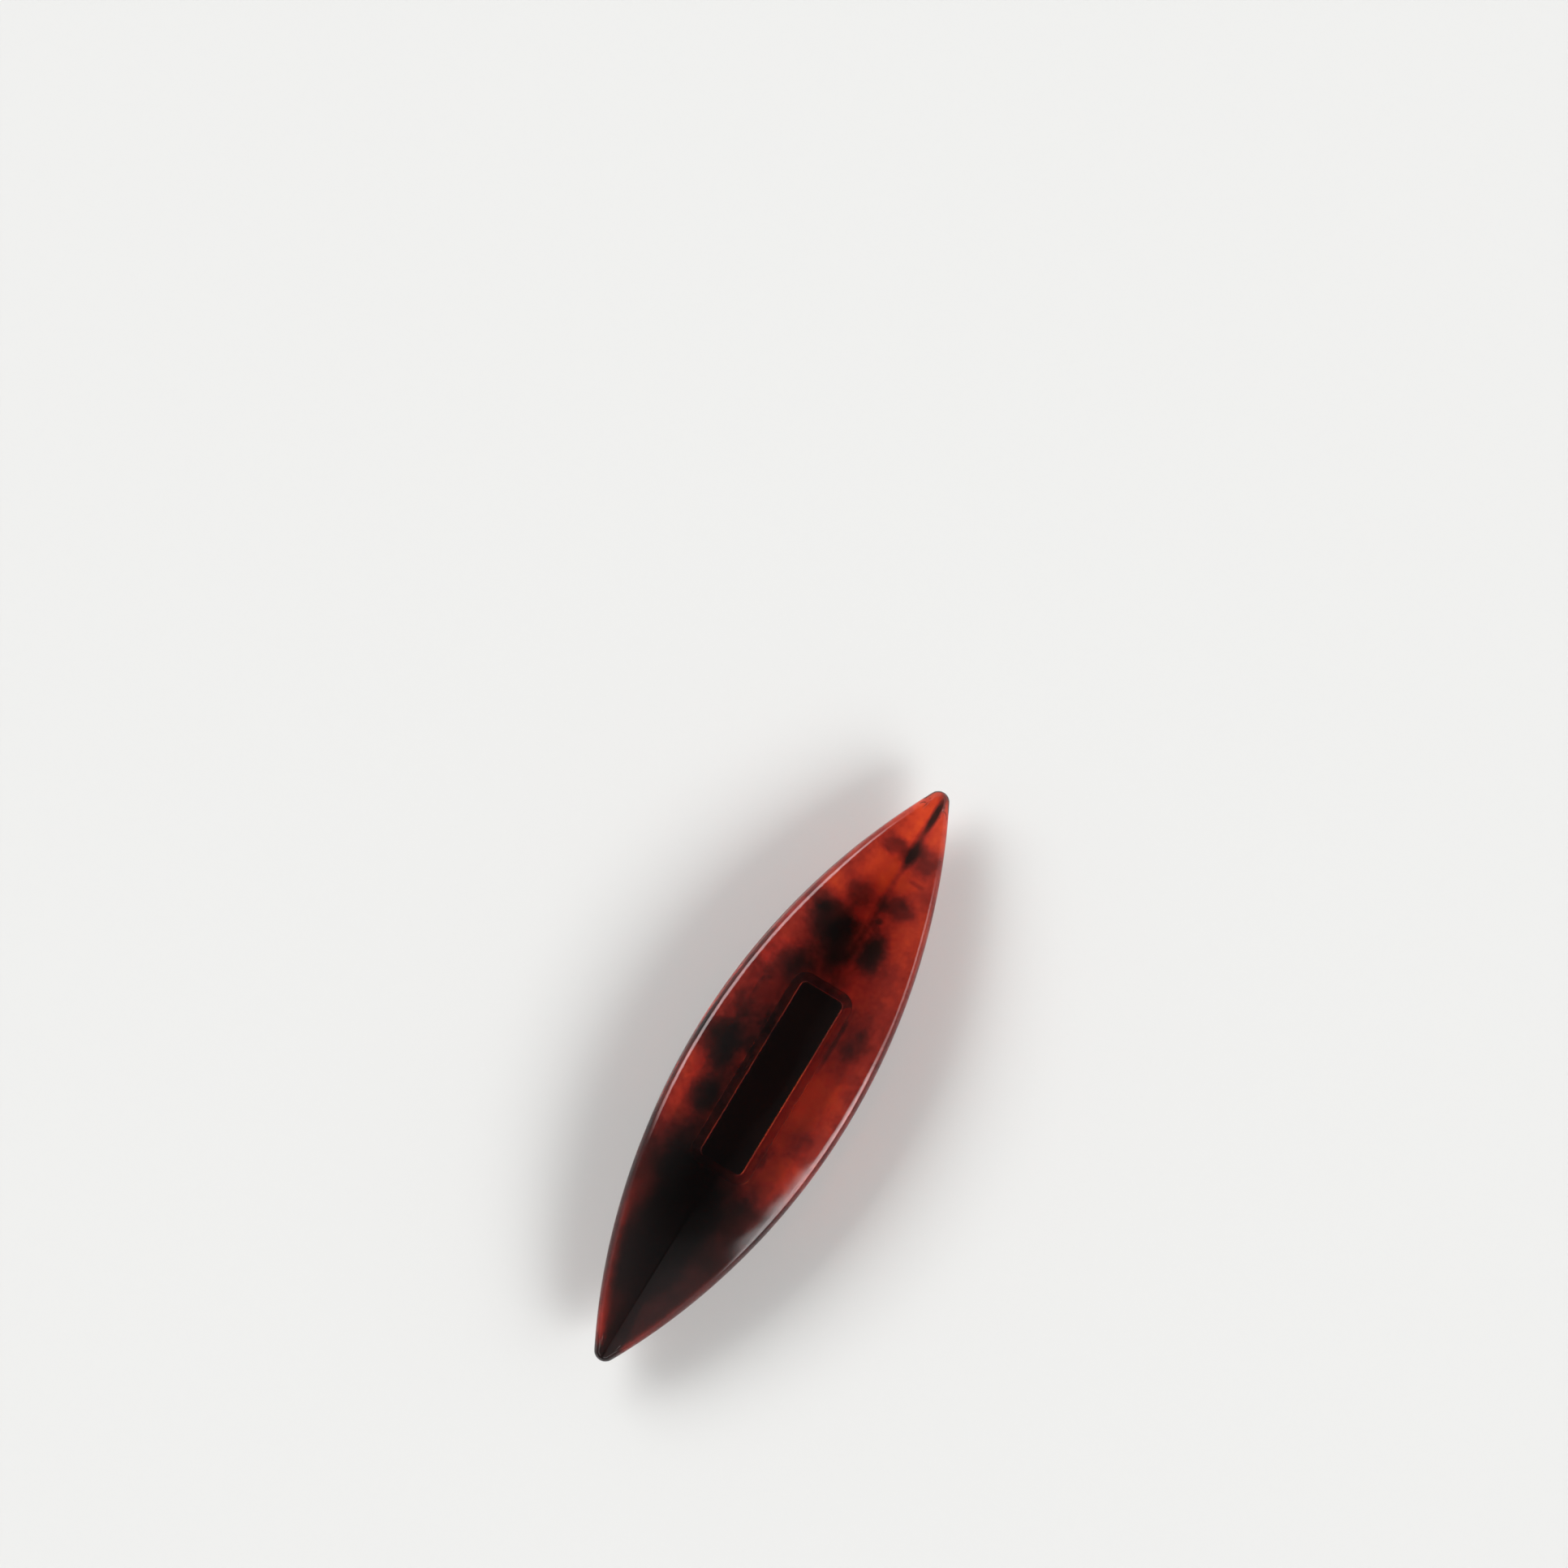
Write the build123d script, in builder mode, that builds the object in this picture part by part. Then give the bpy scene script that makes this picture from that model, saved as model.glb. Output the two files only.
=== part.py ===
from build123d import *
import math
import os

# Tatting shuttle: two curved, pointed-oval blades held apart by a post.
# Millimetres. Origin at the middle of the shuttle, +X along its length,
# +Y across its width, +Z up through the upper blade.

# ---- driving dimensions ----------------------------------------------------
length = 65.0            # tip to tip
width = 17.5             # across the middle
thickness = 11.5         # over both ridges, at the middle
tip_r = 1.1              # rounding of each tip, seen from above
wall = 1.2               # blade thickness
tip_land = 1.5           # length over which the two tips touch
rest_flat_depth = 0.12   # the ridge is flattened over the post, so that it lies still

ridge_r = 4.0            # softness of the lengthwise ridge
ridge_half_angle = 7.0   # degrees each flank falls away from the ridge
flank_r = 60.0           # crosswise crown of each flank

rim_r = 0.72             # rolled outer edge of a blade
inner_rim_r = 0.2        # eased inner edge, so that the thread doesn't fray

post_length = 19.6
post_width = 4.6
post_half_height = 3.95  # from the middle plane to the seat in each blade
post_corner_r = 0.6
post_end_ease = 0.15     # eased ends, so that the post enters its sockets
post_bond_gap = 0.05     # bond line between the post and the socket's sides

socket_wall = 0.85       # width of the low frame round the post
socket_depth = 0.6       # how deep the post sits in the frame
socket_root = 4.75       # the frame and its seat end inside the blade's wall
socket_ease = 0.2        # eased lower edge of the frame

thread_hole_r = 0.8      # cross hole through the post for the thread's end
thread_hole_mouth = 0.3  # eased mouths of the cross hole

# ---- derived ---------------------------------------------------------------
half_l = length / 2
half_w = width / 2
flat_z = thickness / 2
crest_z = flat_z + rest_flat_depth
inner_crest_z = crest_z - wall

# Side arcs of the outline: tangent to the tip circles, half_w at the middle.
outline_r = ((half_l - tip_r) ** 2 + half_w**2 - tip_r**2) / (2 * (half_w - tip_r))

# The blade's lengthwise arc: its inner surface comes down to z = 0 where the
# tips begin to touch.
x_land = half_l - tip_land
inner_long_r = (x_land**2 + inner_crest_z**2) / (2 * inner_crest_z)
long_r = inner_long_r + wall
axis_z = crest_z - long_r

# Crosswise profile of the outer surface, in a plane through the lengthwise
# arc's axis: a small ridge arc with a flatter flank arc tangent to each side.
phi = math.radians(ridge_half_angle)
ridge_centre_r = long_r - ridge_r
flank_centre_y = (ridge_r - flank_r) * math.sin(phi)
flank_centre_r = ridge_centre_r + (ridge_r - flank_r) * math.cos(phi)
profile_y = 11.0         # how far out the profile is drawn


def ridge_point(skin, angle):
    """A point on the ridge arc, skin below the outer surface."""
    r = ridge_r - skin
    return (r * math.sin(angle), ridge_centre_r + r * math.cos(angle))


def flank_point(skin, angle):
    """A point on the +Y flank arc, skin below the outer surface."""
    r = flank_r - skin
    return (flank_centre_y + r * math.sin(angle), flank_centre_r + r * math.cos(angle))


def other_side(p):
    return (-p[0], p[1])


def depth(p):
    """How far a point of the blade lies below the blade's outer surface."""
    r = math.hypot(p.X, p.Z - axis_z)
    y = abs(p.Y)
    if y < ridge_r * math.sin(phi):
        return ridge_centre_r + math.sqrt(ridge_r**2 - y**2) - r
    return flank_centre_r + math.sqrt(flank_r**2 - (y - flank_centre_y) ** 2) - r


# The profile is drawn on a plane through the lengthwise arc's axis, swung back
# to before one tip, and is turned about that axis to past the other tip.
swing = 24.0
back = math.radians(swing)
profile_plane = Plane(
    origin=(0, 0, axis_z),
    x_dir=(0, 1, 0),
    z_dir=(math.cos(back), 0, math.sin(back)),
)
long_axis = Axis((0, 0, axis_z), (0, 1, 0))

end_out = math.asin((profile_y - flank_centre_y) / flank_r)
end_in = math.asin((profile_y - flank_centre_y) / (flank_r - wall))

# ---- upper blade -----------------------------------------------------------
with BuildPart() as upper_blade:
    # curved shell with a soft ridge and crowned flanks, constant wall
    with BuildSketch(profile_plane):
        with BuildLine():
            ridge_out = ridge_point(0, phi)
            ridge_in = ridge_point(wall, phi)
            flank_out = flank_point(0, end_out)
            flank_in = flank_point(wall, end_in)
            flank_out_mid = flank_point(0, (phi + end_out) / 2)
            flank_in_mid = flank_point(wall, (phi + end_in) / 2)
            ThreePointArc(other_side(ridge_out), ridge_point(0, 0), ridge_out)
            ThreePointArc(ridge_out, flank_out_mid, flank_out)
            Line(flank_out, flank_in)
            ThreePointArc(flank_in, flank_in_mid, ridge_in)
            ThreePointArc(ridge_in, ridge_point(wall, 0), other_side(ridge_in))
            ThreePointArc(other_side(ridge_in), other_side(flank_in_mid), other_side(flank_in))
            Line(other_side(flank_in), other_side(flank_out))
            ThreePointArc(other_side(flank_out), other_side(flank_out_mid), other_side(ridge_out))
        make_face()
    revolve(axis=long_axis, revolution_arc=2 * swing)

    # pointed-oval outline with rounded tips; nothing below the middle plane, and
    # a small flat at the top of the ridge
    with BuildSketch(Plane.XY) as outline:
        with Locations((0, half_w - outline_r)):
            Circle(outline_r)
        with Locations((0, outline_r - half_w)):
            Circle(outline_r, mode=Mode.INTERSECT)
        fillet(outline.vertices(), tip_r)
    extrude(amount=flat_z, mode=Mode.INTERSECT)

    # rolled outer edge all round, then eased inner edge along both sides
    sides = upper_blade.faces().filter_by(GeomType.CYLINDER)
    fillet([e for f in sides for e in f.edges() if abs(depth(e @ 0.5)) < 0.02], rim_r)
    sides = upper_blade.faces().filter_by(GeomType.CYLINDER)
    fillet(
        [e for f in sides for e in f.edges() if e.length > length / 2 and depth(e @ 0.5) > wall - 0.1],
        inner_rim_r,
    )

    # low socket frame on the inner face, with a flat seat for the post's end
    with BuildSketch(Plane.XY.offset(post_half_height - socket_depth)):
        RectangleRounded(
            post_length + 2 * (post_bond_gap + socket_wall),
            post_width + 2 * (post_bond_gap + socket_wall),
            post_corner_r + post_bond_gap + socket_wall,
        )
        RectangleRounded(
            post_length + 2 * post_bond_gap,
            post_width + 2 * post_bond_gap,
            post_corner_r + post_bond_gap,
            mode=Mode.SUBTRACT,
        )
    extrude(amount=socket_root - post_half_height + socket_depth)
    with BuildSketch(Plane.XY.offset(post_half_height)):
        RectangleRounded(
            post_length + 2 * (post_bond_gap + socket_wall),
            post_width + 2 * (post_bond_gap + socket_wall),
            post_corner_r + post_bond_gap + socket_wall,
        )
    extrude(amount=socket_root - post_half_height)
    frame_z = post_half_height - socket_depth
    frame_face = upper_blade.faces().filter_by(Axis.Z).filter_by(lambda f: abs(f.center().Z - frame_z) < 0.01)
    fillet(frame_face.edges(), socket_ease)

# ---- lower blade: the same moulding, turned over about the long axis --------
with BuildPart() as lower_blade:
    add(upper_blade.part, rotation=(180, 0, 0))

# ---- post ------------------------------------------------------------------
with BuildPart() as post:
    with BuildSketch(Plane.XY.offset(-post_half_height)):
        RectangleRounded(post_length, post_width, post_corner_r)
    extrude(amount=2 * post_half_height)
    end_edges = post.faces().filter_by(Axis.Z).edges()
    chamfer(end_edges, post_end_ease)
    # cross hole for the thread's end, with eased mouths
    with Locations(Plane.XZ):
        Hole(thread_hole_r)
    mouths = post.edges().filter_by(GeomType.CIRCLE).filter_by(lambda e: abs(e.radius - thread_hole_r) < 1e-4)
    fillet(mouths, thread_hole_mouth)

upper_blade.part.label = "upper_blade"
lower_blade.part.label = "lower_blade"
post.part.label = "post"

os.makedirs("parts", exist_ok=True)
export_step(upper_blade.part, "parts/upper_blade.step")
export_step(lower_blade.part, "parts/lower_blade.step")
export_step(post.part, "parts/post.step")

for piece in (upper_blade, lower_blade, post):
    box = piece.part.bounding_box()
    print(
        piece.part.label,
        "solids", len(piece.solids()),
        "faces", len(piece.faces()),
        "valid", piece.part.is_valid,
        "volume", round(piece.part.volume, 2),
        "from", [round(v, 3) for v in box.min],
        "to", [round(v, 3) for v in box.max],
    )
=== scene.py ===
import math
import random

import bpy
import numpy as np
from mathutils import Matrix, Vector


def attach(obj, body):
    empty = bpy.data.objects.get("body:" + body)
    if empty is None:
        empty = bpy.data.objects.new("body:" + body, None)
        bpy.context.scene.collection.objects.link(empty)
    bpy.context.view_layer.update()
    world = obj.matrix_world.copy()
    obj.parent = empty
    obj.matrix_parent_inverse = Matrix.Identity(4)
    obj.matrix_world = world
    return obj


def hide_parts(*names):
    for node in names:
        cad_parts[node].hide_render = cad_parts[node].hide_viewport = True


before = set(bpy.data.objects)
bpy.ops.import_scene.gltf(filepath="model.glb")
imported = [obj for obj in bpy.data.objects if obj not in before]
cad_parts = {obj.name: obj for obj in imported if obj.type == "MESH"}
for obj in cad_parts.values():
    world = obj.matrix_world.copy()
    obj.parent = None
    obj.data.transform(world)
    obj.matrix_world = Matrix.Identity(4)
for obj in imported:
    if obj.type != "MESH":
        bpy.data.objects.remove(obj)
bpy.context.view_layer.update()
random.seed(7)
MM = 0.001
scene = bpy.context.scene
scene.view_settings.view_transform = "Standard"

# ==== the blade's shape, in millimetres ======================================
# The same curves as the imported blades: a lengthwise arc, a ridge with a flank on
# each side, a pointed-oval outline with rounded tips and a rolled rim.
HALF_L, HALF_W = 32.5, 8.75
TIP_R, WALL, TIP_LAND = 1.1, 1.2, 1.5
FLAT_Z, CREST_Z = 5.75, 5.87
RIDGE_R, FLANK_R = 4.0, 60.0
PHI = math.radians(7.0)
RIM_R, RIM_WIDE, INNER_RIM_R = 0.72, 0.98, 0.2
SEAM = 0.012  # half the hairline seam between the tips

OUTLINE_R = ((HALF_L - TIP_R) ** 2 + HALF_W**2 - TIP_R**2) / (2 * (HALF_W - TIP_R))
INNER_CREST = CREST_Z - WALL
LONG_R = ((HALF_L - TIP_LAND) ** 2 + INNER_CREST**2) / (2 * INNER_CREST) + WALL
AXIS_Z = CREST_Z - LONG_R
RIDGE_CR = LONG_R - RIDGE_R
FLANK_CY = (RIDGE_R - FLANK_R) * math.sin(PHI)
FLANK_CR = RIDGE_CR + (RIDGE_R - FLANK_R) * math.cos(PHI)

# socket frame round the post, on the inner face
FRAME_A, FRAME_B, FRAME_C = 10.7, 3.2, 1.5
FRAME_Z, SEAT_Z = 3.35, 3.945  # the seat is wetted by the bond: no air over the post's end
POCKET = 0.905  # from the frame's outside to the post's side, wetted like the seat
FRAME_EASE = 0.05
FRAME_ROOT = 0.04
MOUTH_EASE = 0.015


def smooth(a, b, x):
    t = np.clip((x - a) / (b - a), 0, 1)
    return t * t * (3 - 2 * t)


def soft_max(a, b, w):
    return 0.5 * (a + b + np.sqrt((a - b) ** 2 + w * w))


def soft_min(a, b, w):
    return 0.5 * (a + b - np.sqrt((a - b) ** 2 + w * w))


def profile(y, skin, ridge):
    """Radius from the lengthwise arc's axis, skin below the outer surface. The
    ridge's own radius may vary along the blade."""
    r = FLANK_R - skin
    sin_t = -FLANK_CY / (r - ridge)
    top = FLANK_CR + np.sqrt((r - ridge) ** 2 - FLANK_CY**2)
    on_ridge = top + np.sqrt(np.maximum(ridge**2 - y * y, 0))
    on_flank = FLANK_CR + np.sqrt(r * r - (np.abs(y) - FLANK_CY) ** 2)
    return np.where(np.abs(y) < ridge * sin_t, on_ridge, on_flank)


def crisp(x):
    """0 over the post, 1 towards the tips, where the ridge is a crisp keel."""
    return smooth(9.0, 20.0, np.abs(x))


def waves(x, y):
    """Slow unevenness of a polished moulding, a few thousandths of a millimetre."""
    w = (
        np.sin(0.61 * x + 0.35 * y + 0.4)
        + 0.8 * np.sin(-0.43 * x + 0.77 * y + 2.1)
        + 0.6 * np.sin(1.13 * x - 0.52 * y + 4.0)
        + 0.4 * np.sin(1.71 * x + 1.27 * y + 1.3)
    )
    return 0.0035 * w * smooth(5.0, 9.0, np.hypot(x * 0.8, y * 1.8))


def outer_z(x, y):
    ridge = RIDGE_R + (0.5 - RIDGE_R) * crisp(x)
    z = AXIS_Z + np.sqrt(profile(y, 0.0, ridge) ** 2 - x * x)
    return soft_min(z + waves(x, y), FLAT_Z + 0 * z, 0.003)


def inner_z(x, y):
    ridge = (RIDGE_R - WALL) + (0.22 - RIDGE_R + WALL) * crisp(x)
    z = AXIS_Z + np.sqrt(profile(y, WALL, ridge) ** 2 - x * x)
    return soft_max(z, SEAM + 0 * z, 0.02)


def half_width(x):
    return np.sqrt(OUTLINE_R**2 - x * x) - (OUTLINE_R - HALF_W)


def quadrant():
    """Points and outward normals of the outline from the +X tip to the middle."""
    cx, cy = 0.0, HALF_W - OUTLINE_R
    tx = HALF_L - TIP_R
    tangent = math.atan2(-cy, tx)  # the normal where the tip circle meets the side
    pts, nrm = [], []
    steps = 14
    for k in range(steps):
        a = tangent * k / steps
        n = (math.cos(a), math.sin(a))
        pts.append((tx + TIP_R * n[0], TIP_R * n[1]))
        nrm.append(n)
    x_join = OUTLINE_R * math.cos(tangent)
    # stations: closer near the tip, and one exactly at the patch's edge
    xs = list(x_join - (x_join - 28.0) * (np.linspace(0, 1, 17)) ** 1.15)
    xs += list(np.linspace(28.0, PATCH_A, 47))[1:]
    xs += list(np.linspace(PATCH_A, 0.0, 33))[1:]
    for x in xs:
        y = float(half_width(x))
        n = ((x - cx) / OUTLINE_R, (y - cy) / OUTLINE_R)
        pts.append((x, y))
        nrm.append(n)
    return np.array(pts), np.array(nrm)


PATCH_A, PATCH_B = 12.0, 4.2  # the inner face is cut here for the socket frame


class Mesh:
    def __init__(self):
        self.points, self.faces, self.uvs = [], [], []

    def add(self, ring):
        start = len(self.points)
        self.points.extend(map(tuple, ring))
        return list(range(start, start + len(ring)))

    def band(self, a, b, uva, uvb, flip=False):
        """Quads between two closed rings of equal length; a ring may repeat a
        vertex where it closes to a point or a line."""
        n = len(a)
        for i in range(n):
            j = (i + 1) % n
            quad = [(a[i], uva[i]), (a[j], uva[j]), (b[j], uvb[j]), (b[i], uvb[i])]
            kept = []
            for q in quad:
                if q[0] not in [k[0] for k in kept]:
                    kept.append(q)
            if len(kept) < 3:
                continue
            if flip:
                kept.reverse()
            self.faces.append([k[0] for k in kept])
            self.uvs.append([k[1] for k in kept])


def blade_mesh():
    m = Mesh()
    p, n = quadrant()
    q = len(p)
    # whole outline, anticlockwise from the +X tip: +Y side, -X tip, -Y side
    whole_p = np.concatenate([p, (p * (-1, 1))[::-1][1:], (p * (-1, -1))[1:], (p * (1, -1))[::-1][1:-1]])
    whole_n = np.concatenate([n, (n * (-1, 1))[::-1][1:], (n * (-1, -1))[1:], (n * (1, -1))[::-1][1:-1]])
    total = len(whole_p)
    px, py = whole_p[:, 0], whole_p[:, 1]

    def at(d):
        return whole_p - np.asarray(d)[..., None] * whole_n

    # rolled rim: a circle against the side wall and the outer surface, fuller
    # along the middle than at the tips
    rim_r = RIM_R + (RIM_WIDE - RIM_R) * (1 - smooth(18.0, 29.0, np.abs(px)))
    d_t = rim_r * 0.8
    for _ in range(6):
        e = 0.02
        a, b = at(d_t - e), at(d_t + e)
        slope = (outer_z(b[:, 0], b[:, 1]) - outer_z(a[:, 0], a[:, 1])) / (2 * e)
        alpha = np.arctan(slope)
        d_t = rim_r * (1 - np.sin(alpha))
    t = at(d_t)
    z_c = outer_z(t[:, 0], t[:, 1]) - rim_r * np.cos(alpha)

    # eased inner edge along both sides, nearly sharp at the tips
    r_i = INNER_RIM_R + (0.05 - INNER_RIM_R) * smooth(29.5, 31.5, np.abs(px))
    d_i = r_i.copy()
    for _ in range(6):
        e = 0.02
        a, b = at(np.maximum(d_i - e, 0)), at(d_i + e)
        slope = (inner_z(b[:, 0], b[:, 1]) - inner_z(a[:, 0], a[:, 1])) / (2 * e)
        beta = np.arctan(slope)
        d_i = r_i * (1 + np.sin(beta))
    s = at(d_i)
    z_i = inner_z(s[:, 0], s[:, 1]) + r_i * np.cos(beta)

    # where each line across the blade ends on the ridge
    ax = np.abs(px)
    x_r = np.where(ax < 28, ax, 28 + (31.25 - 28) * (ax - 28) / (HALF_L - 28)) * np.sign(px)
    side = np.sign(py)
    side[0] = 1
    tip_left = int(np.argmin(px))
    hw = half_width(np.abs(x_r))
    y_split = np.where(np.abs(x_r) <= PATCH_A, PATCH_B, PATCH_B * hw / half_width(PATCH_A))
    y_split = np.minimum(y_split, 0.62 * hw)
    y_split = np.where(np.abs(x_r) <= PATCH_A, PATCH_B, y_split)
    y_split = y_split * np.where(np.abs(py) < 1e-9, 0, side)

    # at the two tip points the line runs along the axis itself
    fade = np.clip(np.abs(py) / np.maximum(0.35, 1e-9), 0, 1)
    y_split = y_split * np.where(ax > 31.9, fade, 1)

    partner = [(total - i) % total for i in range(total)]

    def ridge_ring(z_of):
        """One vertex for each pair of points that face each other across the ridge."""
        made, ring = {}, []
        for i in range(total):
            j = min(i, partner[i])
            if j not in made:
                x = x_r[j]
                made[j] = m.add([(x, 0.0, float(z_of(np.array(x), np.array(0.0))))])[0]
            ring.append(made[j])
        return ring

    # ---- outer face, from the ridge to the rim, then down the side ----
    K = 0.0246
    uv_x = (whole_p[:, 0] + 33.0) / 66.0

    def uv_of(x, length, middle):
        u = (x + 33.0) / 66.0
        v = middle + K * length * np.where(side == 0, 1, side)
        return list(zip(u, v))

    xy = []
    inner_steps, outer_steps = 15, 15
    for k in range(1, inner_steps + 1):
        f = (k / inner_steps) ** 1.7
        xy.append(np.stack([x_r, y_split * f], 1))
    s_xy = xy[-1]

    def rings_to(edge):
        out = []
        for k in range(1, outer_steps + 1):
            f = 1 - (1 - k / outer_steps) ** 1.15
            g = smooth(0, 1, np.array(f))
            x = s_xy[:, 0] + (edge[:, 0] - s_xy[:, 0]) * g
            y = s_xy[:, 1] + (edge[:, 1] - s_xy[:, 1]) * f
            out.append(np.stack([x, y], 1))
        return out

    out_xy = xy + rings_to(t)
    ring = ridge_ring(outer_z)
    length = np.zeros(total)
    last = np.stack([x_r, 0 * x_r, outer_z(x_r, 0 * x_r)], 1)
    uv = uv_of(x_r, length, 0.265)
    for c in out_xy:
        pts = np.stack([c[:, 0], c[:, 1], outer_z(c[:, 0], c[:, 1])], 1)
        length = length + np.linalg.norm((pts - last)[:, 1:], axis=1)
        new, new_uv = m.add(pts), uv_of(c[:, 0], length, 0.265)
        m.band(ring, new, uv, new_uv, flip=True)
        ring, last, uv = new, pts, new_uv
    for k in range(1, 11):
        th = alpha + (math.pi / 2 - alpha) * k / 10
        c = at(rim_r * (1 - np.sin(th)))
        pts = np.stack([c[:, 0], c[:, 1], z_c + rim_r * np.cos(th)], 1)
        length = length + np.linalg.norm(pts - last, axis=1)
        new, new_uv = m.add(pts), uv_of(c[:, 0], length, 0.265)
        m.band(ring, new, uv, new_uv, flip=True)
        ring, last, uv = new, pts, new_uv
    for k in (1, 2):
        z = z_c + (z_i - z_c) * k / 2
        pts = np.stack([px, py, z], 1)
        length = length + np.linalg.norm(pts - last, axis=1)
        new, new_uv = m.add(pts), uv_of(px, length, 0.265)
        m.band(ring, new, uv, new_uv, flip=True)
        ring, last, uv = new, pts, new_uv

    # ---- inner face, from the side wall's foot to the ridge ----
    in_xy = xy + rings_to(s)
    # lengths are counted from the ridge, so they are worked out first
    lens, prev, acc = [], np.stack([x_r, 0 * x_r], 1), np.zeros(total)
    for c in in_xy:
        acc = acc + np.abs(c[:, 1] - prev[:, 1])
        lens.append(acc)
        prev = c
    edge_len = acc
    foot = [None] * 6
    uv = uv_of(px, edge_len + 0.35, 0.76)
    for k in range(1, 6):
        psi = (math.pi / 2 + beta) * k / 5
        c = at(r_i * (1 - np.cos(psi)))
        pts = np.stack([c[:, 0], c[:, 1], z_i - r_i * np.sin(psi)], 1)
        new, new_uv = m.add(pts), uv_of(c[:, 0], edge_len + 0.35 * (1 - k / 5), 0.76)
        m.band(ring, new, uv, new_uv, flip=True)
        ring, uv = new, new_uv
    # rings from the rim inwards; the ring at the split line is kept for the patch
    grid = []
    for k in range(len(in_xy) - 2, -1, -1):
        c = in_xy[k]
        pts = np.stack([c[:, 0], c[:, 1], inner_z(c[:, 0], c[:, 1])], 1)
        grid.append((k, pts, uv_of(c[:, 0], lens[k], 0.76)))
    inside = np.abs(x_r) <= PATCH_A + 1e-6
    split_ring = None
    ring_ids = {}
    for k, pts, new_uv in grid:
        if k >= inner_steps - 1:
            new = m.add(pts)
            m.band(ring, new, uv, new_uv, flip=True)
            ring, uv = new, new_uv
            ring_ids[k] = new
        else:
            # within the patch only the edge columns are kept
            new = [None] * total
            keep = [i for i in range(total) if not inside[i] or abs(abs(x_r[i]) - PATCH_A) < 1e-6]
            ids = m.add(pts[keep])
            for i, v in zip(keep, ids):
                new[i] = v
            for i in range(total):
                j = (i + 1) % total
                if new[i] is None or new[j] is None:
                    continue
                m.faces.append([new[i], new[j], ring[j], ring[i]])
                m.uvs.append([new_uv[i], new_uv[j], uv[j], uv[i]])
            ring, uv = new, new_uv
            ring_ids[k] = new
    # the ridge line of the inner face
    made, new = {}, [None] * total
    for i in range(total):
        if ring[i] is None:
            continue
        j = min(i, partner[i])
        if j not in made:
            made[j] = m.add([(x_r[j], 0.0, float(inner_z(np.array(x_r[j]), np.array(0.0))))])[0]
        new[i] = made[j]
    new_uv = uv_of(x_r, np.zeros(total), 0.76)
    for i in range(total):
        j = (i + 1) % total
        if new[i] is None or new[j] is None:
            continue
        face, fuv = [], []
        for v, w in ((new[i], new_uv[i]), (new[j], new_uv[j]), (ring[j], uv[j]), (ring[i], uv[i])):
            if v not in face:
                face.append(v)
                fuv.append(w)
        if len(face) > 2:
            m.faces.append(face)
            m.uvs.append(fuv)
    ring_ids["ridge"] = new

    # ---- socket frame ----
    right_up = [i for i in range(total) if abs(x_r[i] - PATCH_A) < 1e-6 and py[i] > 0][0]
    left_up = [i for i in range(total) if abs(x_r[i] + PATCH_A) < 1e-6 and py[i] > 0][0]
    left_dn = [i for i in range(total) if abs(x_r[i] + PATCH_A) < 1e-6 and py[i] < 0][0]
    right_dn = [i for i in range(total) if abs(x_r[i] - PATCH_A) < 1e-6 and py[i] < 0][0]
    split = ring_ids[inner_steps - 1]
    loop, spots = [], []

    def note(v):
        loop.append(v)
        spots.append(m.points[v])

    note(ring_ids["ridge"][right_up])
    for k in range(0, inner_steps - 1):
        note(ring_ids[k][right_up])
    for i in range(right_up, left_up + 1):
        note(split[i])
    for k in range(inner_steps - 2, -1, -1):
        note(ring_ids[k][left_up])
    note(ring_ids["ridge"][left_up])
    for k in range(0, inner_steps - 1):
        note(ring_ids[k][left_dn])
    for i in range(left_dn, right_dn + 1):
        note(split[i])
    for k in range(inner_steps - 2, -1, -1):
        note(ring_ids[k][right_dn])
    spots = np.array(spots)

    def rounded(delta):
        """The frame's outline, delta inside its outer wall, one point for each of
        the loop's vertices."""
        a, b, r = FRAME_A - delta, FRAME_B - delta, FRAME_C - delta
        # shares are fixed by the outer wall, so that points don't slide
        la, lb, arc = FRAME_A - FRAME_C, FRAME_B - FRAME_C, FRAME_C * math.pi / 4
        out = []
        for x, y, _ in spots:
            on_long = abs(abs(y) - PATCH_B) < 1e-6
            if on_long:
                f = abs(x) / PATCH_A * (la + arc)
                if f <= la:
                    cx, cy = f, b
                else:
                    th = (f - la) / FRAME_C
                    cx, cy = la + r * math.sin(th), lb + r * math.cos(th)
            else:
                f = abs(y) / PATCH_B * (lb + arc)
                if f <= lb:
                    cx, cy = a, f
                else:
                    th = (f - lb) / FRAME_C
                    cx, cy = la + r * math.cos(th), lb + r * math.sin(th)
            out.append((math.copysign(cx, x), math.copysign(cy, y) if abs(y) > 1e-9 else 0.0))
        return np.array(out)

    around = np.cumsum(np.r_[0, np.linalg.norm(np.diff(rounded(0), axis=0), axis=1)])
    around = around / (around[-1] + 0.3)

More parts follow.
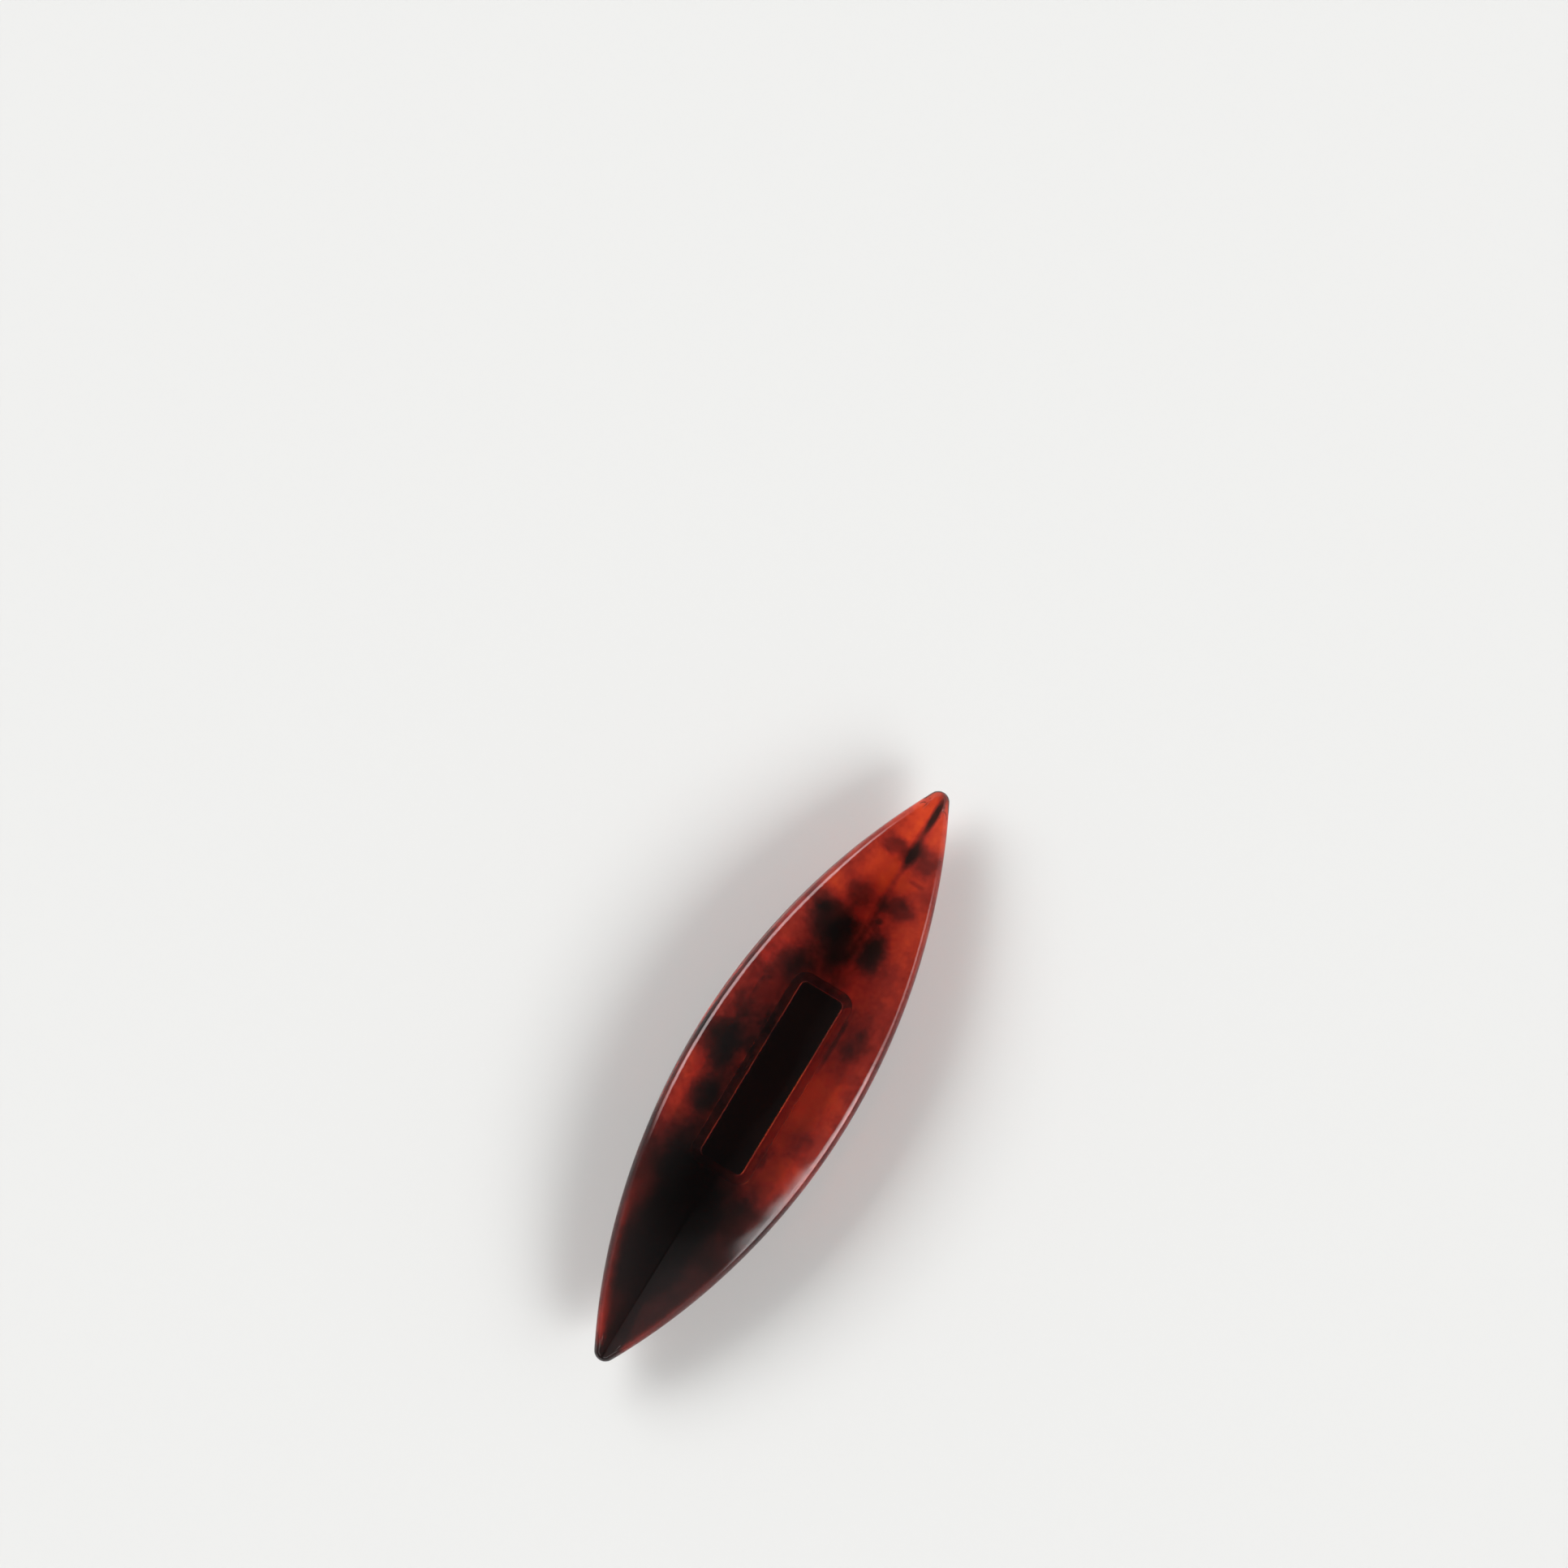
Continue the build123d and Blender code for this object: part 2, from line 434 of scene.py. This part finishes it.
    rings = []
    base = rounded(-FRAME_ROOT)
    for f in (0.3, 0.6, 0.85):
        c = spots[:, :2] + (base - spots[:, :2]) * f
        rings.append((c, inner_z(c[:, 0], c[:, 1])))
    rings.append((base, inner_z(base[:, 0], base[:, 1])))
    wall_xy = rounded(0)
    wall_top = inner_z(wall_xy[:, 0], wall_xy[:, 1])
    for k in range(1, 5):
        psi = math.pi / 2 * k / 4
        c = rounded(-FRAME_ROOT * (1 - math.sin(psi)))
        rings.append((c, wall_top - FRAME_ROOT * (1 - math.cos(psi))))
    low = FRAME_Z + FRAME_EASE
    rings.append((wall_xy, (wall_top - FRAME_ROOT) * 0.5 + low * 0.5))
    rings.append((wall_xy, np.full(len(loop), low)))
    for k in range(1, 5):
        psi = math.pi / 2 * k / 4
        rings.append((rounded(FRAME_EASE * (1 - math.cos(psi))), np.full(len(loop), low - FRAME_EASE * math.sin(psi))))
    rings.append((rounded((POCKET) / 2), np.full(len(loop), FRAME_Z)))
    for k in range(0, 5):
        psi = math.pi / 2 * k / 4
        d = POCKET - MOUTH_EASE * (1 - math.sin(psi))
        rings.append((rounded(d), np.full(len(loop), FRAME_Z + MOUTH_EASE * (1 - math.cos(psi)))))
    rings.append((rounded(POCKET), np.full(len(loop), SEAT_Z - 0.04)))
    rings.append((rounded(POCKET + 0.04), np.full(len(loop), SEAT_Z)))
    rings.append((rounded(POCKET + 0.10), np.full(len(loop), SEAT_Z)))
    ring, prev = loop, spots
    run = np.zeros(len(loop))
    uv = list(zip(0.005 + 0.99 * around, 0.957 + 0 * run))
    closed = around
    for c, z in rings:
        pts = np.stack([c[:, 0], c[:, 1], z], 1)
        run = run + np.linalg.norm(pts - prev, axis=1)
        new, new_uv = m.add(pts), list(zip(0.005 + 0.99 * around, 0.957 + 0.0085 * run))
        n_l = len(loop)
        for i in range(n_l):
            j = (i + 1) % n_l
            # the last face of each band closes the loop on the map, too
            ua = uv[j] if j else (0.999, uv[0][1])
            ub = new_uv[j] if j else (0.999, new_uv[0][1])
            m.faces.append([ring[i], new[i], new[j], ring[j]])
            m.uvs.append([uv[i], new_uv[i], ub, ua])
        ring, prev, uv = new, pts, new_uv
    # the seat's flat floor, as one face
    seat = [((x + 33.0) / 66.0, 0.76 + K * y) for x, y, _ in prev]
    m.faces.append(list(reversed(ring)))
    m.uvs.append(list(reversed(seat)))
    return m


def make_object(name, mesh, turn_over):
    me = bpy.data.meshes.new(name)
    v = np.array(mesh.points) * MM
    if turn_over:
        v = v * (1, -1, -1)
    me.from_pydata([tuple(c) for c in v], [], mesh.faces)
    layer = me.uv_layers.new(name="OFBake")
    flat = np.array([c for f in mesh.uvs for c in f], np.float32)
    layer.uv.foreach_set("vector", flat.ravel())
    me.validate()
    me.update()
    me.shade_smooth()
    o = bpy.data.objects.new(name, me)
    scene.collection.objects.link(o)
    return o


shape = blade_mesh()
print("blade", len(shape.points), "vertices", len(shape.faces), "faces")
upper = make_object("blade_upper", shape, False)
lower = make_object("blade_lower", shape, True)
for o, node in ((upper, "upper_blade"), (lower, "lower_blade")):
    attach(o, "root")
    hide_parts(node)

# ==== materials ==============================================================
class Graph:
    """Small helper for building a node tree."""

    def __init__(self, tree):
        self.tree = tree
        self.nodes = tree.nodes
        self.links = tree.links

    def node(self, kind, **settings):
        n = self.nodes.new(kind)
        for k, v in settings.items():
            setattr(n, k, v)
        return n

    def put(self, socket, value):
        if isinstance(value, bpy.types.NodeSocket):
            self.links.new(value, socket)
        elif value is not None:
            socket.default_value = value

    def math(self, op, a, b=None, c=None, clamp=False):
        n = self.node("ShaderNodeMath", operation=op, use_clamp=clamp)
        for s, v in zip(n.inputs, (a, b, c)):
            self.put(s, v)
        return n.outputs[0]

    def vec(self, op, a, b=None, scale=None):
        n = self.node("ShaderNodeVectorMath", operation=op)
        self.put(n.inputs[0], a)
        if b is not None:
            self.put(n.inputs[1], b)
        if scale is not None:
            self.put(n.inputs["Scale"], scale)
        return n.outputs["Value"] if op in ("LENGTH", "DOT_PRODUCT", "DISTANCE") else n.outputs[0]

    def noise(self, where, scale, detail=2.0, rough=0.5, distortion=0.0, colour=False, w=None):
        n = self.node("ShaderNodeTexNoise", noise_dimensions="4D" if w is not None else "3D")
        self.put(n.inputs["Vector"], where)
        n.inputs["Scale"].default_value = scale
        n.inputs["Detail"].default_value = detail
        n.inputs["Roughness"].default_value = rough
        n.inputs["Distortion"].default_value = distortion
        if w is not None:
            n.inputs["W"].default_value = w
        return n.outputs["Color" if colour else "Fac"]

    def remap(self, v, a, b, c=0.0, d=1.0, kind="SMOOTHSTEP"):
        n = self.node("ShaderNodeMapRange", interpolation_type=kind)
        n.inputs["From Min"].default_value, n.inputs["From Max"].default_value = a, b
        n.inputs["To Min"].default_value, n.inputs["To Max"].default_value = c, d
        self.put(n.inputs["Value"], v)
        return n.outputs["Result"]

    def ramp(self, v, stops, interpolation="LINEAR"):
        n = self.node("ShaderNodeValToRGB")
        r = n.color_ramp
        r.interpolation = interpolation
        while len(r.elements) < len(stops):
            r.elements.new(0.5)
        for e, (p, c) in zip(r.elements, stops):
            e.position = p
            e.color = (*c, 1)
        self.put(n.inputs["Fac"], v)
        return n.outputs["Color"]


def cloud_group():
    """One soft oval cloud: its strength inside, fading to nothing outside."""
    t = bpy.data.node_groups.new("cloud", "ShaderNodeTree")
    for name, kind in (
        ("Where", "NodeSocketVector"), ("Centre", "NodeSocketVector"), ("Radii", "NodeSocketVector"),
        ("Turn", "NodeSocketFloat"), ("Soft", "NodeSocketFloat"), ("Strength", "NodeSocketFloat"),
    ):
        t.interface.new_socket(name, in_out="INPUT", socket_type=kind)
    t.interface.new_socket("Value", in_out="OUTPUT", socket_type="NodeSocketFloat")
    g = Graph(t)
    i, o = g.node("NodeGroupInput"), g.node("NodeGroupOutput")
    rel = g.vec("SUBTRACT", i.outputs["Where"], i.outputs["Centre"])
    rot = g.node("ShaderNodeVectorRotate", rotation_type="Z_AXIS")
    g.put(rot.inputs["Vector"], rel)
    g.put(rot.inputs["Angle"], g.math("MULTIPLY", i.outputs["Turn"], -1.0))
    far = g.vec("LENGTH", g.vec("DIVIDE", rot.outputs[0], i.outputs["Radii"]))
    m = g.node("ShaderNodeMapRange", interpolation_type="SMOOTHERSTEP")
    g.put(m.inputs["Value"], far)
    g.put(m.inputs["From Min"], g.math("ADD", 1.0, i.outputs["Soft"]))
    g.put(m.inputs["From Max"], g.math("SUBTRACT", 1.0, i.outputs["Soft"]))
    g.put(m.inputs["To Min"], 0.0)
    g.put(m.inputs["To Max"], i.outputs["Strength"])
    g.put(o.inputs["Value"], m.outputs["Result"])
    return t


CLOUD = cloud_group()


def tortoiseshell(name, clouds, seed, depth, level, rim, shade_and_streaks, palette):
    """A clear plastic body with clouds of darker pigment. Millimetres across the
    blade; a cloud is (x, y, rx, ry, turn in degrees, softness, strength)."""
    m = bpy.data.materials.new(name)
    m.use_nodes = True
    g = Graph(m.node_tree)
    b = g.nodes["Principled BSDF"]
    coord = g.node("ShaderNodeTexCoord").outputs["Object"]
    mm = g.vec("SCALE", coord, scale=1000.0)
    flat = g.vec("MULTIPLY", mm, (1, 1, 0.35))
    # clouds drift: the pattern's coordinates are stirred at two sizes
    big = g.vec("SUBTRACT", g.noise(flat, 0.2, 1.0, 0.5, colour=True, w=seed), (0.5, 0.5, 0.5))
    small = g.vec("SUBTRACT", g.noise(flat, 0.7, 4.0, 0.62, colour=True, w=seed + 5), (0.5, 0.5, 0.5))
    stirred = g.vec("ADD", mm, g.vec("ADD", g.vec("SCALE", big, scale=1.6), g.vec("SCALE", small, scale=2.4)))
    spread = g.vec("MULTIPLY", stirred, (1, 1, 0))
    total = g.math("ADD", level, 0.0)
    for x, y, rx, ry, turned, soft, strength in clouds:
        n = g.node("ShaderNodeGroup", node_tree=CLOUD)
        g.put(n.inputs["Where"], spread)
        n.inputs["Centre"].default_value = (x, y, 0)
        n.inputs["Radii"].default_value = (rx, ry, 1)
        n.inputs["Turn"].default_value = math.radians(turned)
        n.inputs["Soft"].default_value = soft
        n.inputs["Strength"].default_value = strength
        total = g.math("ADD", total, n.outputs[0])
    # fine unevenness of the pigment, less of it at the evenly dark end
    split = g.node("ShaderNodeSeparateXYZ")
    g.put(split.inputs[0], mm)
    # the rolled rim is thinner, so it is lighter
    far_x = g.math("MULTIPLY", split.outputs["X"], split.outputs["X"])
    reach = g.math("SUBTRACT", g.math("SQRT", g.math("SUBTRACT", OUTLINE_R**2, far_x)), OUTLINE_R - HALF_W)
    inward = g.math("SUBTRACT", reach, g.math("ABSOLUTE", split.outputs["Y"]))
    total = g.math("ADD", total, g.math("MULTIPLY", g.remap(inward, 1.0, 0.2), rim))
    # at the dark end the pigment stops short of the rim, sooner on the +Y side
    narrow = g.math("MULTIPLY", inward, g.remap(split.outputs["Y"], -0.5, 0.5, 1.6, 1.0))
    end = g.math("MULTIPLY", g.remap(split.outputs["X"], -14.0, -19.0), g.remap(split.outputs["X"], -32.0, -30.6))
    bare = g.math("MULTIPLY", g.remap(narrow, 1.7, 0.4), g.math("MULTIPLY", end, -0.32))
    total = g.math("ADD", total, bare)
    lively = g.remap(split.outputs["X"], -13.5, -9.0, 0.45, 1.0)
    grain = g.noise(flat, 0.85, 5.0, 0.62, w=seed + 11)
    broad = g.noise(flat, 0.3, 2.0, 0.5, w=seed + 17)
    uneven = g.math("ADD", g.math("MULTIPLY", g.math("SUBTRACT", grain, 0.5), depth),
                    g.math("MULTIPLY", g.math("SUBTRACT", broad, 0.5), depth))
    total = g.math("ADD", total, g.math("MULTIPLY", uneven, lively))
    fine = g.noise(mm, 2.6, 3.0, 0.6, w=seed + 29)
    total = g.math("ADD", total, g.math("MULTIPLY", g.math("SUBTRACT", fine, 0.5), 0.22))
    # painted shade along the crest, with the other marks that come with it, when given
    if shade_and_streaks is not None:
        total = g.math("ADD", total, shade_and_streaks(g, mm))
    total = g.math("ADD", total, 0.0, clamp=True)
    g.put(b.inputs["Base Color"], g.ramp(total, palette))
    rough = g.noise(mm, 0.5, 5.0, 0.6, w=seed + 23)
    g.put(b.inputs["Roughness"], g.remap(rough, 0.3, 0.7, 0.04, 0.08, "LINEAR"))
    b.inputs["IOR"].default_value = 1.5
    b.inputs["Transmission Weight"].default_value = 1.0
    # the plastic itself is amber, so long ways through it are deeper in colour
    body = g.node("ShaderNodeVolumeAbsorption")
    body.inputs["Color"].default_value = (0.985, 0.427, 0.027, 1)
    body.inputs["Density"].default_value = 560.0
    g.links.new(body.outputs[0], g.nodes["Material Output"].inputs["Volume"])
    return m


def keel_shade_and_streaks(g, mm):
    """Painted shade: the dark line where the two flanks meet, clear near the tips only, darkens the crest as shade
    would; a few other marks go with it.
    """
    s = g.node("ShaderNodeSeparateXYZ")
    g.put(s.inputs[0], mm)
    x = g.math("ABSOLUTE", s.outputs["X"])
    y = g.math("ABSOLUTE", g.math("ADD", s.outputs["Y"], 0.3))
    near = g.remap(y, 0.5, 0.05, 0.0, 1.0)
    along = g.remap(x, 10.0, 26.0, 0.0, 1.0)
    total = g.math("MULTIPLY", g.math("MULTIPLY", near, along), 0.3)
    # dark blots along it at the tips, two fine lines beside the socket and two small marks beyond
    for x0, y0, rx, ry, k in (
        # painted shade: the blots along the crest at the tips
        (30.1, -0.45, 2.0, 0.42, 0.6), (25.6, -0.6, 2.0, 0.5, 0.3), (-30.4, -0.4, 3.8, 0.75, 0.4),
        # painted shade and painted light: a dark line along the socket frame's outer wall and a lighter line next to
        # the post; then two small pigment marks
        (6.1, -3.4, 3.6, 0.3, 0.42), (7.0, -2.5, 2.8, 0.16, -0.3), (23.3, -2.2, 0.3, 0.9, 0.26), (18.4, -1.0, 0.35, 0.4, 0.3),
    ):
        far = g.vec("LENGTH", g.vec("MULTIPLY", g.vec("SUBTRACT", mm, (x0, y0, 0)), (1 / rx, 1 / ry, 0)))
        total = g.math("ADD", total, g.remap(far, 1.3, 0.3, 0.0, k))
    return total


P = 1 / 12.58  # millimetres per pixel of the reference view, for laying out the clouds


def c(u, v, ru, rv, turned=0, soft=0.5, strength=0.8):
    return (u * P, v * P, ru * P, rv * P, turned, soft, strength)


UPPER_CLOUDS = [
    # the +X end: bright, with a row of dark clouds on each side of the ridge
    c(330, 4, 80, 34, 0, 0.7, -0.22),
    c(238, 54, 20, 18, 0, 0.8, -0.2),
    c(236, -54, 32, 20, 0, 0.8, -0.14),
    c(195, -28, 25, 14, 5, 0.7, 0.55),
    c(232, -14, 16, 6, 0, 0.7, 0.25),
    c(258, -24, 13, 20, 0, 0.7, 0.48),
    c(321, -19, 18, 18, 6, 0.7, 0.42),
    c(350, -10, 20, 9, 0, 0.8, 0.28),
    c(186, 12, 30, 18, 10, 0.8, 0.42),
    c(208, 38, 24, 24, -30, 0.75, 0.48),
    c(220, 60, 13, 16, 0, 0.8, 0.3),
    c(254, 20, 17, 18, 0, 0.75, 0.36),
    c(324, 16, 13, 20, 0, 0.7, 0.46),
    c(352, 24, 18, 14, 0, 0.9, 0.12),
    c(138, 56, 18, 14, 0, 0.8, 0.14),
    c(146, 22, 30, 30, 0, 0.8, 0.24),
    c(150, -44, 24, 24, 0, 0.9, -0.1),
    c(120, 80, 30, 16, 0, 0.8, 0.16),
    # beside the post, -Y: bright, with a few clouds; the lighter pigment here is partly painted light, offsetting the
    # shade that the post and blades cast on the floor below
    c(-40, -56, 110, 34, 0, 0.5, -0.22),
    c(-4, -58, 30, 20, 0, 0.9, -0.22),
    c(87, -68, 26, 14, -8, 0.8, 0.3),
    c(52, -60, 24, 14, 0, 0.9, 0.1),
    c(-57, -73, 18, 14, 0, 0.8, 0.26),
    c(-92, -42, 17, 6, 0, 0.8, 0.38),
    c(30, -94, 140, 20, 0, 0.8, 0.13),
    # beside the post, +Y: darker, with some bright gaps
    c(10, 46, 150, 18, 0, 0.7, 0.24),
    c(5, 79, 25, 24, 0, 0.75, 0.56),
    c(-60, 62, 24, 17, 0, 0.8, 0.38),
    c(76, 82, 34, 15, 0, 0.8, 0.25),
    c(92, 56, 16, 12, 0, 0.9, -0.08),
    c(40, 86, 26, 18, 0, 0.8, 0.22),
    c(19, 40, 9, 9, 0, 0.8, 0.3),
    c(54, 38, 14, 9, 0, 0.8, 0.3),
    c(3, 42, 11, 9, 0, 0.8, -0.36),
    c(-84, 78, 24, 16, 20, 0.8, -0.12),
    # the -X end: brown-black, darkest along the middle
    c(-335, -10, 200, 200, 0, 0.16, 0.46),
    c(-138, -82, 26, 18, 20, 0.8, 0.2),
    c(-149, -54, 17, 14, 0, 0.8, 0.2),
    c(-138, -30, 22, 10, 10, 0.8, 0.06),
    c(-330, -22, 60, 24, 0, 0.8, 0.05),
    c(-388, 0, 64, 15, 0, 0.6, 0.2),
    c(-138, 64, 30, 46, 0, 0.7, 0.34),
    c(-205, 6, 110, 34, 0, 0.45, 0.3),
    c(-240, 34, 80, 24, 0, 0.6, 0.15),
    c(-225, -50, 70, 34, 0, 0.8, 0.08),
]

# surface pigment 0 to 1: clear orange, red, red-brown, black-brown
DEEP = [
    (0.0, (0.99, 0.42, 0.22)),
    (0.2, (0.88, 0.31, 0.24)),
    (0.4, (0.63, 0.20, 0.22)),
    (0.6, (0.37, 0.13, 0.16)),
    (0.8, (0.168, 0.079, 0.106)),
    (1.0, (0.044, 0.034, 0.046)),
]
LIGHT = [
    (0.0, (0.99, 0.55, 0.38)),
    (0.5, (0.72, 0.33, 0.29)),
    (1.0, (0.25, 0.13, 0.14)),
]
# the upper blade also carries the painted shade along its crest
upper.data.materials.append(tortoiseshell("tortoiseshell_upper", UPPER_CLOUDS, 3.0, 0.62, 0.36, -0.08, keel_shade_and_streaks, DEEP))
lower.data.materials.append(
    tortoiseshell(
        "tortoiseshell_lower",
        [(x * 0.98 + 0.2, y * 0.96, rx * 1.1, ry * 1.1, t, 0.8, w * 0.9) for x, y, rx, ry, t, s, w in UPPER_CLOUDS],
        41.0, 0.5, 0.34, -0.08, None, LIGHT,
    )
)


def satin_black(name):
    m = bpy.data.materials.new(name)
    m.use_nodes = True
    g = Graph(m.node_tree)
    b = g.nodes["Principled BSDF"]
    mm = g.vec("SCALE", g.node("ShaderNodeTexCoord").outputs["Object"], scale=1000.0)
    n = g.noise(mm, 3.0, 4.0, 0.6)
    g.put(b.inputs["Base Color"], g.ramp(n, [(0.3, (0.0018, 0.0022, 0.0024)), (0.7, (0.0045, 0.005, 0.0052))]))
    # satin sides; the two bonded ends are smooth
    z = g.node("ShaderNodeSeparateXYZ")
    g.put(z.inputs[0], mm)
    end = g.remap(g.math("ABSOLUTE", z.outputs["Z"]), 3.7, 3.9, 1.0, 0.35)
    g.put(b.inputs["Roughness"], g.math("MULTIPLY", g.remap(n, 0.3, 0.7, 0.36, 0.48, "LINEAR"), end))
    bump = g.node("ShaderNodeBump")
    bump.inputs["Strength"].default_value = 0.25
    bump.inputs["Distance"].default_value = 0.00003
    g.put(bump.inputs["Height"], g.noise(mm, 9.0, 3.0, 0.6))
    g.put(b.inputs["Normal"], bump.outputs[0])
    b.inputs["IOR"].default_value = 1.5
    b.inputs["Specular IOR Level"].default_value = 0.3
    return m


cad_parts["post"].data.materials[0] = satin_black("post_plastic")

# ==== camera =================================================================
# Straight down on the shuttle, framed as in the reference view.
PX = 0.1536 / 1932
turn = math.radians(31.26)
right = Vector((math.sin(turn), -math.cos(turn), 0))
up = Vector((math.cos(turn), math.sin(turn), 0))
dist = 0.6
centre = -right * ((951 - 966) * PX) + up * ((1326 - 966) * PX)
cam_data = bpy.data.cameras.new("camera")
cam = bpy.data.objects.new("camera", cam_data)
scene.collection.objects.link(cam)
cam_data.sensor_width = 36
cam_data.lens = 36 * dist / 0.1536
cam_data.clip_start, cam_data.clip_end = 0.01, 10
cam.matrix_world = Matrix((
    (right.x, up.x, 0, centre.x),
    (right.y, up.y, 0, centre.y),
    (0, 0, 1, dist),
    (0, 0, 0, 1),
))
scene.camera = cam

# ==== floor and light ========================================================
bpy.ops.mesh.primitive_circle_add(vertices=128, radius=3.0, fill_type="NGON", location=(0, 0, -0.00575))
floor = bpy.context.object
floor.name = "floor"
fm = bpy.data.materials.new("floor")
fm.use_nodes = True
b = fm.node_tree.nodes["Principled BSDF"]
b.inputs["Base Color"].default_value = (0.66, 0.66, 0.65, 1)
b.inputs["Roughness"].default_value = 0.9
b.inputs["Specular IOR Level"].default_value = 0.1
floor.data.materials.append(fm)


def toward(along_x, along_y):
    """Unit vector tilted from the vertical by these angles towards +X and +Y."""
    return Vector((math.tan(math.radians(along_x)), math.tan(math.radians(along_y)), 1)).normalized()


world = bpy.data.worlds.new("world")
scene.world = world
world.use_nodes = True
g = Graph(world.node_tree)
back = g.nodes["Background"]
d = g.node("ShaderNodeTexCoord").outputs["Generated"]
z = g.node("ShaderNodeSeparateXYZ")
g.put(z.inputs[0], d)
# dim overhead, paler to the sides and towards the ends, pale low down, and large
# softboxes at the sides
ax, ay = (g.math("ABSOLUTE", z.outputs[k]) for k in ("X", "Y"))
near = g.remap(ay, 0.24, 0.42, 0.06, 0.19)
ends = g.math("MULTIPLY", g.remap(ax, 0.30, 0.55), g.remap(ay, 0.04, 0.32))
ends = g.math("MULTIPLY", ends, g.math("MULTIPLY", g.remap(z.outputs["X"], -0.2, 0.2, 0.35, 0.2), g.remap(z.outputs["Y"], -0.1, 0.1, 1.0, 0.62)))
ends = g.math("MULTIPLY", ends, g.remap(z.outputs["X"], -0.71, -0.63, 0.3, 1.0))
low = g.remap(z.outputs["Z"], 0.78, 0.66, 0.0, 0.4)
low = g.math("MULTIPLY", low, g.remap(z.outputs["X"], -0.80, -0.50, 0.2, 1.0))
light = g.math("ADD", g.math("ADD", near, ends), low)
# an evenly pale backdrop at the horizon, all round
backdrop = g.remap(z.outputs["Z"], 0.22, 0.10)
light = g.math("ADD", g.math("MULTIPLY", light, g.math("SUBTRACT", 1.0, backdrop)), g.math("MULTIPLY", backdrop, 0.93))
for middle, turned, half_x, half_y, power in (
    (toward(17.5, 55.5), 0.0, 0.37, 0.38, 6.6),
    (toward(-15.5, -50), 11.3, 0.24, 0.33, 5.9),
    (toward(19, -57), 0.0, 0.30, 0.30, 2.6),
):
    side_x = Vector((1, 0, 0)) - middle * middle.x
    side_x.normalize()
    side_y = middle.cross(side_x)
    t = math.radians(turned)
    long_way = side_x * math.cos(t) - side_y * math.sin(t)
    short_way = side_y * math.cos(t) + side_x * math.sin(t)
    a = g.math("ABSOLUTE", g.vec("DOT_PRODUCT", d, tuple(long_way)))
    across = g.math("ABSOLUTE", g.vec("DOT_PRODUCT", d, tuple(short_way)))
    facing = g.remap(g.vec("DOT_PRODUCT", d, tuple(middle)), 0.3, 0.5)
    lamp = g.math("MULTIPLY", g.remap(a, half_x * 1.25, half_x * 0.75), g.remap(across, half_y + 0.015, half_y - 0.02))
    # kept off the low directions, which the blades mirror when seen from the side
    high = g.math("MULTIPLY", facing, g.remap(z.outputs["Z"], 0.40, 0.52))
    light = g.math("ADD", light, g.math("MULTIPLY", g.math("MULTIPLY", lamp, high), power))
g.put(back.inputs["Strength"], light)
back.inputs["Color"].default_value = (1, 1, 1, 1)
